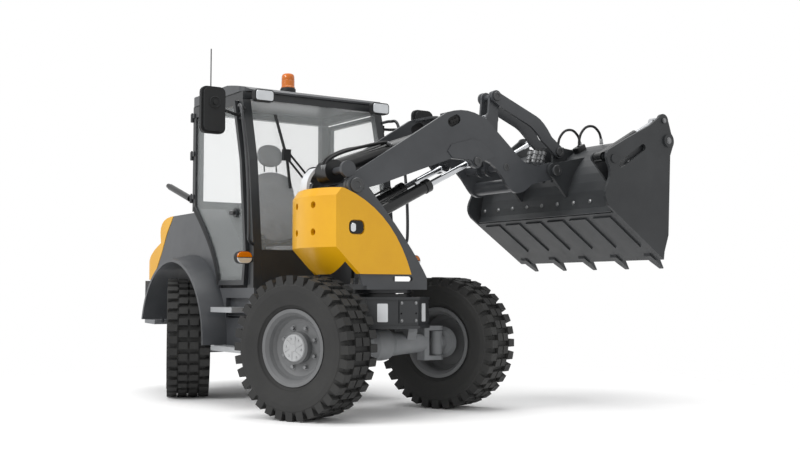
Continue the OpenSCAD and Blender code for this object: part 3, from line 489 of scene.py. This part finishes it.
# Pin heads of the arm; rows of pin, distance to the side, radius and height
TURRET_V = 296.0
bm = bmesh.new()
for s in SIDES:
    pin_head(bm, at_pin(BOOM_FOOT, s * TURRET_V), (-s, 0, 0), 54.0)
    bolt(bm, U(-330, s * TURRET_V, 1640), (-s, 0, 0), r=9.0)
piece("pins_turret", bm, PIN, "turret")
BOOM_HEADS = ((LIFT_EYE, 268, 34.0, 14.0), (BOOM_TIP, 320, 44.0, 10.0), (LEVER_FOOT, 260, 28.0, 8.0))
LEVER_HEADS = ((LEVER_TOP, 92, 38.0, 14.0),)
LINK_HEADS = ((LINK_EYE, 92, 40.0, 14.0),)
for name, body, heads in (("pins_boom", "boom", BOOM_HEADS), ("pins_lever", "tilt_lever", LEVER_HEADS),
                          ("pins_link", "tilt_link", LINK_HEADS)):
    bm = bmesh.new()
    for s in SIDES:
        for pin, v, r, h in heads:
            pin_head(bm, at_pin(pin, s * v), (-s, 0, 0), r, h)
    piece(name, bm, PIN, body)
bm = bmesh.new()
for s in SIDES:
    bolt(bm, B(CLAM_PIN[0], s * 880, CLAM_PIN[1]), (-s, 0, 0), r=20.0, h=8.0)
    bolt(bm, B(CLAM_EYE[0], s * 875, CLAM_EYE[1]), (-s, 0, 0), r=15.0, h=8.0)
piece("pins_clam", bm, BOLT, "clam")

# Round-headed bolts along the blade's wear strip
STRIP_R = BLADE_R + 10.5
STRIP_BOLT = [(0.0, 0.0), (17.0, 0.0), (16.0, 4.0), (11.0, 8.0), (0.0, 10.0)]
bm = bmesh.new()
for i in range(9):
    spot, way = on_blade(209.0, STRIP_R, -760.0 + 190.0 * i)
    lathe(bm, STRIP_BOLT, facing(spot, way), 20)
piece("strip_bolts", bm, BOLT, "bucket")

# Lip under the blade that closes the gap to the clam's floor
LIP = [(-25.0, 60.0), (-17.0, 2.0), (-7.0, 4.0), (-9.0, 64.0)]
LIP_WIDE = 1640.0
bm = bmesh.new()
foot = Matrix.Translation(B(0.0, 0.0, 0.0)) @ Matrix.Rotation(-DUMP, 4, "X") @ arm_side(1.0)
slab(bm, LIP, LIP_WIDE, foot @ Matrix.Translation((0, 0, -LIP_WIDE / 2.0 / MM)))
piece("blade_lip", bm, BUCKET, "bucket")

# Grommets in the boom's hose openings, each with three plugs
PLATE_V = 236.0
SLOT_LOW = (485.0, 2186.0)
SLOT_HIGH = (535.0, 2213.0)
SLOT_R = 35.5
PLUG = [(0.0, 12.0), (15.0, 12.0), (15.0, 22.0), (10.0, 24.0), (0.0, 24.0)]
lean = math.degrees(math.atan2(SLOT_HIGH[1] - SLOT_LOW[1], SLOT_HIGH[0] - SLOT_LOW[0]))
hole = (arc(*SLOT_HIGH, SLOT_R, lean - 90, lean + 90, 8)
        + arc(*SLOT_LOW, SLOT_R, lean + 90, lean + 270, 8))
bm = bmesh.new()
for s in SIDES:
    slab(bm, hole, 14.0, Matrix.Translation(U(0, s * PLATE_V, 0)) @ arm_side(s), 3.0)
    for u, z in ((486, 2190), (512, 2200), (536, 2212)):
        lathe(bm, PLUG, facing(U(u, s * PLATE_V, z), (-s, 0, 0)), 20)
piece("boom_grommets", bm, HOSE, "boom")

# Quick couplings on brackets between the boom's plates
COUPLING = [(0.0, 0.0), (20.0, 0.0), (20.0, 22.0), (26.0, 26.0), (26.0, 46.0), (21.0, 50.0),
            (21.0, 66.0), (28.0, 70.0), (28.0, 96.0), (24.0, 100.0), (0.0, 100.0)]
CAP = [(0.0, 100.2), (23.0, 100.2), (23.0, 110.0), (18.0, 114.0), (0.0, 114.0)]
bm = bmesh.new()
for s in SIDES:
    slab(bm, rounded(108.0, 1330.0, 229.8, 1450.0, 14.0), 12.0,
         Matrix.Translation(M(0, 0, 1930)) @ Matrix.Scale(s, 4, (1, 0, 0)))
piece("coupling_brackets", bm, GREY, "boom")
metal = bmesh.new()
caps = bmesh.new()
for s in SIDES:
    for i in range(3):
        for j in range(2):
            f = facing(U(1352 + 38 * i, s * (140 + 58 * j), 1940), (0.0, 0.34, 0.94))
            lathe(metal, COUPLING, f)
            lathe(caps, CAP, f)
piece("couplings", metal, BOLT, "boom")
piece("coupling_caps", caps, PLASTIC, "boom")

# Valve blocks on the blade, set 1 mm into it
BLOCK_H = 46.0
bm = bmesh.new()
for s in SIDES:
    spot, way = on_blade(152.0, BLADE_R - 1.0, s * VALVE_V)
    slab(bm, rounded(-34.0, -48.0, 34.0, 48.0, 8.0), BLOCK_H, facing(spot, way), 4.0)
    bolt(bm, spot + way * (BLOCK_H / MM), way, r=10.0)
piece("valve_blocks", bm, BLACK, "bucket")

# Hard lines on the lift barrels: distance along the cylinder and off it
LIFT_COS = 0.8932
LIFT_SIN = 0.4497
LINE = ((110.0, 46.0), (118.0, 60.0), (170.0, 62.0), (500.0, 62.0), (590.0, 60.0), (600.0, 46.0))
for s in SIDES:
    line = []
    for t, off in LINE:
        u = LIFT_FOOT[0] + LIFT_COS * t - LIFT_SIN * off
        line.append(U(u, s * 170, LIFT_FOOT[1] + LIFT_SIN * t + LIFT_COS * off))
    pipe("lift_line_%d" % (1 + s), line, 8.0, BLACK, "lift_barrels")

# Lamp in each cheek of the turret weight
CHEEK_V = 308.0
shell = bmesh.new()
glow = bmesh.new()
for s in SIDES:
    f = Matrix.Translation(U(0, s * CHEEK_V, 0)) @ arm_side(s)
    slab(shell, rounded(-458.0, 1306.0, -341.0, 1399.0, 34.0), 12.0, f, 3.0)
    slab(glow, rounded(-448.0, 1318.0, -404.0, 1382.0, 20.0), 15.0, f, 4.0)
piece("cheek_lamps", shell, PLASTIC, "turret")
piece("cheek_lenses", glow, LENS, "turret")

# Pale shield on top of the weight, bent round the boom pin clear of the tilt cylinder's sweep
SHIELD_OUT = 186.0
SHIELD_IN = 163.0
SHIELD_WIDE = 104.0
bm = bmesh.new()
hump = arc(*BOOM_FOOT, SHIELD_OUT, 188, 124, 10) + arc(*BOOM_FOOT, SHIELD_IN, 124, 188, 10)
slab(bm, hump[::-1], SHIELD_WIDE, Matrix.Translation(U(0, 96, 0)) @ arm_side(1.0), 8.0)
piece("turret_cover", bm, LABEL, "turret")

# Lenses of work lamps and signal lamps, mirror faces and mounts; the left mirror stands closer in
WORK_FRONT = -822.0
SIGNAL_FRONT = -676.0
SIGNAL_R = 42.0
MIRROR_BACK = -795.0
MIRROR_FRONT = -730.0
MIRROR_OUT = {-1.0: 1115.0, 1.0: 1040.0}
MOUNT = [(20.0, 0.0), (48.0, 0.0), (48.0, 5.0), (40.0, 8.0), (34.0, 3.0),
         (20.0, 3.0), (18.0, 12.0), (0.0, 14.0)]
lens = bmesh.new()
amber = bmesh.new()
clear = bmesh.new()
glass = bmesh.new()
mounts = bmesh.new()
for s in SIDES:
    face = Matrix.Translation(M(WORK_FRONT, 0, 0)) @ FORWARD
    left, right = sorted((s * 472, s * 624))
    slab(lens, rounded(left, 2408.0, right, 2488.0, 20.0), 6.0, face, 3.0)
    face = Matrix.Translation(M(SIGNAL_FRONT, 0, 0)) @ FORWARD
    left, right = sorted((s * 764, s * 806))
    upper = arc(right, 1160, SIGNAL_R, 0, 90, 6) + arc(left, 1160, SIGNAL_R, 90, 180, 6)
    lower = arc(left, 1156, SIGNAL_R, 180, 270, 6) + arc(right, 1156, SIGNAL_R, 270, 360, 6)
    slab(amber, upper, 9.0, face, 4.0)
    slab(clear, lower, 9.0, face, 4.0)
    face = Matrix.Translation(M(MIRROR_BACK, 0, 0)) @ BACKWARD
    left, right = sorted((s * (MIRROR_OUT[s] - 188), s * (MIRROR_OUT[s] - 12)))
    slab(glass, rounded(-right, 2112.0, -left, 2448.0, 36.0), 2.0, face)
    middle = M(MIRROR_FRONT, s * (MIRROR_OUT[s] - 100), 2335)
    lathe(mounts, MOUNT, facing(middle, (1.0, 0.0, 0.0)), 32)
piece("work_lenses", lens, LENS, "chassis")
piece("signal_amber", amber, AMBER, "chassis")
piece("signal_clear", clear, LENS, "chassis")
piece("mirror_faces", glass, MIRROR, "chassis")
piece("mirror_mounts", mounts, PLASTIC, "chassis")

# Doors: trim along the lower edge, handle with lock
EDGE_X = (70.0, 546.0, 578.0)
EDGE_Z = (1600.0, 1205.0, 950.0)
TRIM_V = 690.0
HANDLE_V = 699.0
HANDLE_H = 16.0
LOCK = [(0.0, 0.0), (14.0, 0.0), (13.0, 5.0), (0.0, 5.0)]


def bend(ends, t):
    """Place at t, from 0 to 1, on a curve with three control values."""
    a, b, c = ends
    return a * (1 - t) ** 2 + b * 2 * t * (1 - t) + c * t * t


def door_edge(up, n=8):
    """Points of the door's lower edge, moved up and forward."""
    pts = []
    for i in range(n + 1):
        t = i / n
        pts.append((REAR_X + bend(EDGE_X, t) + up, bend(EDGE_Z, t) + up))
    return pts


for s, body in ((-1.0, "door_right"), (1.0, "door_left")):
    bm = bmesh.new()
    slab(bm, door_edge(2.0) + door_edge(26.0)[::-1], 3.0,
         Matrix.Translation(M(0, s * TRIM_V, 0)) @ cab_side(s))
    piece("trim_" + body, bm, PLASTIC, body)
    bm = bmesh.new()
    slab(bm, rounded(-1110.0, 1508.0, -1020.0, 1542.0, 15.0), HANDLE_H,
         Matrix.Translation(M(0, s * HANDLE_V, 0)) @ cab_side(s), 5.0)
    lathe(bm, LOCK, facing(M(-1036, s * (HANDLE_V + HANDLE_H), 1525), (0, s, 0)))
    piece("handle_" + body, bm, BLACK, body)

# Grab rails along the front pillars
RAIL_R = 13.0
RAIL_ROUTE = ((-962, 652, 2352), (-930, 716, 2366), (-848, 738, 2330), (-770, 740, 2060),
              (-716, 740, 1720), (-700, 738, 1400), (-720, 726, 1300), (-792, 652, 1262))
for s in SIDES:
    pipe("rail_%d" % (1 + s), [M(x, s * y, z) for x, y, z in RAIL_ROUTE], RAIL_R, RAIL, "chassis")

# Beacon: black base, amber dome
BEACON_FOOT = [(0.0, 2602.5), (48.0, 2602.5), (67.0, 2622.0), (68.0, 2650.0), (62.0, 2662.0), (0.0, 2663.0)]
DOME = [(0.0, 2663.0), (60.0, 2663.0), (60.0, 2672.0), (57.0, 2676.0), (57.0, 2726.0), (55.0, 2729.0),
        (56.5, 2732.0), (55.0, 2766.0), (49.0, 2780.0), (37.0, 2788.0), (0.0, 2791.0)]
post = Matrix.Translation(M(-1460, 0, 0))
bm = bmesh.new()
lathe(bm, BEACON_FOOT, post, 40)
piece("beacon_base", bm, PLASTIC, "chassis")
bm = bmesh.new()
lathe(bm, DOME, post, 40)
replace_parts(piece("beacon_dome", bm, AMBER, "chassis"), "beacon")

# Seat: sprung base, sewn cushion, back and headrest
CROWN = 0.3
WAIST = 0.03
SEAM_DEEP = 0.12
SEAM_WIDE = 0.05
TAPER = 0.06
VOXEL = 0.009
PRESSURE = 4.0
CLOTH_FRAMES = 20
SWELL_CAP = 0.009


def pad(name, centre, width, length, thick, lean, channels, corner=0.6):
    """Crowned pad, its sides pulled in between the corners, with sewn channels across its top."""
    bm = bmesh.new()
    bmesh.ops.create_cube(bm, size=2.0)
    bmesh.ops.subdivide_edges(bm, edges=bm.edges, cuts=17, use_grid_fill=True)
    turn = Matrix.Translation(centre) @ Matrix.Rotation(math.radians(lean), 4, "Y")
    for vert in bm.verts:
        x, y, z = vert.co
        crown = (1.0 - CROWN * abs(x) ** 3) * (1.0 - CROWN * abs(y) ** 3)
        waist = 1.0 - WAIST * (1.0 - x * x) * (1.0 - z * z)
        deep = 0.0
        for k in channels:
            deep += SEAM_DEEP * math.exp(-((x - k) / SEAM_WIDE) ** 2)
        z = z * crown
        if z > 0.0:
            z -= deep * z
        r = 1.0 - TAPER * abs(z) ** 3
        across = x * math.sqrt(1.0 - 0.5 * corner * y * y)
        along = y * math.sqrt(1.0 - 0.5 * corner * x * x)
        vert.co = turn @ Vector((across * r * length, along * r * waist * width, z * thick))
    obj = piece(name, bm, SEAT, "chassis")
    return obj


def swell(obj, cap):
    """Blow the pad up as cloth, no point farther than cap, and keep the result."""
    mod = obj.modifiers.new("remesh", "REMESH")
    mod.mode = "VOXEL"
    mod.voxel_size = VOXEL
    mesh = bpy.data.meshes.new_from_object(obj.evaluated_get(bpy.context.evaluated_depsgraph_get()))
    obj.modifiers.clear()
    obj.data = mesh
    start = [v.co.copy() for v in mesh.vertices]
    mod = obj.modifiers.new("cloth", "CLOTH")
    mod.settings.use_pressure = True
    mod.settings.uniform_pressure_force = PRESSURE
    mod.settings.effector_weights.gravity = 0.0
    for f in range(1, CLOTH_FRAMES + 1):
        scene.frame_set(f)
    mesh = bpy.data.meshes.new_from_object(obj.evaluated_get(bpy.context.evaluated_depsgraph_get()))
    obj.modifiers.clear()
    for v, was in zip(mesh.vertices, start):
        move = v.co - was
        if move.length > cap:
            v.co = was + move * (cap / move.length)
    mesh.materials.clear()
    mesh.materials.append(SEAT)
    mesh.shade_smooth()
    obj.data = mesh
    obj.modifiers.new("round", "SUBSURF").levels = 1
    scene.frame_set(1)


cushion = pad("seat_cushion", M(REAR_X + 490, 0, 1222), width=0.228, length=0.228, thick=0.06,
              lean=0.0, channels=(-0.45, 0.0, 0.45))
back = pad("seat_back", M(REAR_X + 240, 0, 1640), width=0.218, length=0.325, thick=0.052,
           lean=-99.6, channels=(-0.5, -0.1, 0.3))
head = pad("seat_head", M(REAR_X + 155, 0, 2105), width=0.122, length=0.1, thick=0.036,
           lean=-96.0, channels=(), corner=0.9)
for part in (cushion, back, head):
    swell(part, SWELL_CAP)
# Bellows under a tray, and the two stems of the headrest
TRAY_Z = 1156.0
STEM = [(0.0, 0.0), (7.0, 0.0), (7.0, 70.0), (0.0, 72.0)]
bm = bmesh.new()
fold = []
for i in range(4):
    fold += [(150.0 - 6.0 * i, 1062.0 + 24.0 * i), (166.0 - 6.0 * i, 1074.0 + 24.0 * i)]
lathe(bm, [(0.0, 1061.0)] + fold + [(150.0, TRAY_Z), (0.0, TRAY_Z)],
      Matrix.Translation(M(REAR_X + 470, 0, 0)), 40)
slab(bm, rounded(REAR_X + 262, -226.0, REAR_X + 718, 226.0, 40.0), 14.0, Matrix.Translation(M(0, 0, TRAY_Z)))
for y in (-60.0, 60.0):
    lathe(bm, STEM, facing(M(REAR_X + 172, y, 1960), (-0.12, 0.0, 1.0)), 16)
piece("seat_base", bm, PLASTIC, "chassis")
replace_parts(cushion, "seat")

# Studio: white floor and backdrop, soft lamps
FADE_FROM = 2.2
FADE_TO = 4.6
SKY_LIGHT = 0.85
SKY_SEEN = 1.0


def stage_mat():
    """White floor that fades into the backdrop round the machine."""
    mat, nt, sh = new_mat("studio_floor")
    sh.inputs["Roughness"].default_value = 0.9
    sh.inputs["Specular IOR Level"].default_value = 0.1
    tone = ramp(nt, noise(nt, scale=0.6), [(0.0, (0.95, 0.95, 0.95)), (1.0, (0.97, 0.97, 0.97))])
    nt.links.new(tone, sh.inputs["Base Color"])
    away = nt.nodes.new("ShaderNodeVectorMath")
    away.operation = "LENGTH"
    nt.links.new(nt.nodes.new("ShaderNodeTexCoord").outputs["Object"], away.inputs[0])
    fade = nt.nodes.new("ShaderNodeMapRange")
    fade.inputs["From Min"].default_value = FADE_FROM
    fade.inputs["From Max"].default_value = FADE_TO
    fade.interpolation_type = "SMOOTHSTEP"
    nt.links.new(away.outputs["Value"], fade.inputs["Value"])
    clear_sh = nt.nodes.new("ShaderNodeBsdfTransparent")
    mix = nt.nodes.new("ShaderNodeMixShader")
    nt.links.new(fade.outputs[0], mix.inputs[0])
    nt.links.new(sh.outputs[0], mix.inputs[1])
    nt.links.new(clear_sh.outputs[0], mix.inputs[2])
    nt.links.new(mix.outputs[0], nt.nodes["Material Output"].inputs[0])
    return mat


bm = bmesh.new()
bmesh.ops.create_grid(bm, x_segments=1, y_segments=1, size=60.0)
floor_mesh = bpy.data.meshes.new("floor")
bm.to_mesh(floor_mesh)
bm.free()
floor = bpy.data.objects.new("floor", floor_mesh)
floor.location = (0.0, 0.0, -0.002)
floor_mesh.materials.append(stage_mat())
scene.collection.objects.link(floor)

# The sky lights the machine with one strength, and is seen, also through the glass, with another
world = bpy.data.worlds.new("studio")
scene.world = world
world.use_nodes = True
wn = world.node_tree
wn.nodes.clear()
w_out = wn.nodes.new("ShaderNodeOutputWorld")
w_mix = wn.nodes.new("ShaderNodeMixShader")
w_path = wn.nodes.new("ShaderNodeLightPath")
w_any = wn.nodes.new("ShaderNodeMath")
w_any.operation = "MAXIMUM"
shades = []
for strength in (SKY_LIGHT, SKY_SEEN):
    shade = wn.nodes.new("ShaderNodeBackground")
    shade.inputs["Color"].default_value = (1.0, 1.0, 1.0, 1.0)
    shade.inputs["Strength"].default_value = strength
    shades.append(shade)
wn.links.new(w_path.outputs["Is Camera Ray"], w_any.inputs[0])
wn.links.new(w_path.outputs["Is Transmission Ray"], w_any.inputs[1])
wn.links.new(w_any.outputs[0], w_mix.inputs[0])
wn.links.new(shades[0].outputs[0], w_mix.inputs[1])
wn.links.new(shades[1].outputs[0], w_mix.inputs[2])
wn.links.new(w_mix.outputs[0], w_out.inputs[0])


def lamp(name, loc, target, size, power):
    """Round area lamp that looks at a target."""
    data = bpy.data.lights.new(name, "AREA")
    data.shape = "DISK"
    data.size = size
    data.energy = power
    obj = bpy.data.objects.new(name, data)
    obj.location = loc
    obj.rotation_euler = (Vector(target) - Vector(loc)).to_track_quat("-Z", "Y").to_euler()
    scene.collection.objects.link(obj)


lamp("key", (1.0, -9.0, 7.0), (0.0, 0.0, 1.0), size=5.0, power=480.0)
lamp("top", (0.0, 0.0, 9.0), (0.0, 0.0, 0.0), size=7.0, power=350.0)

scene.view_settings.view_transform = "Standard"
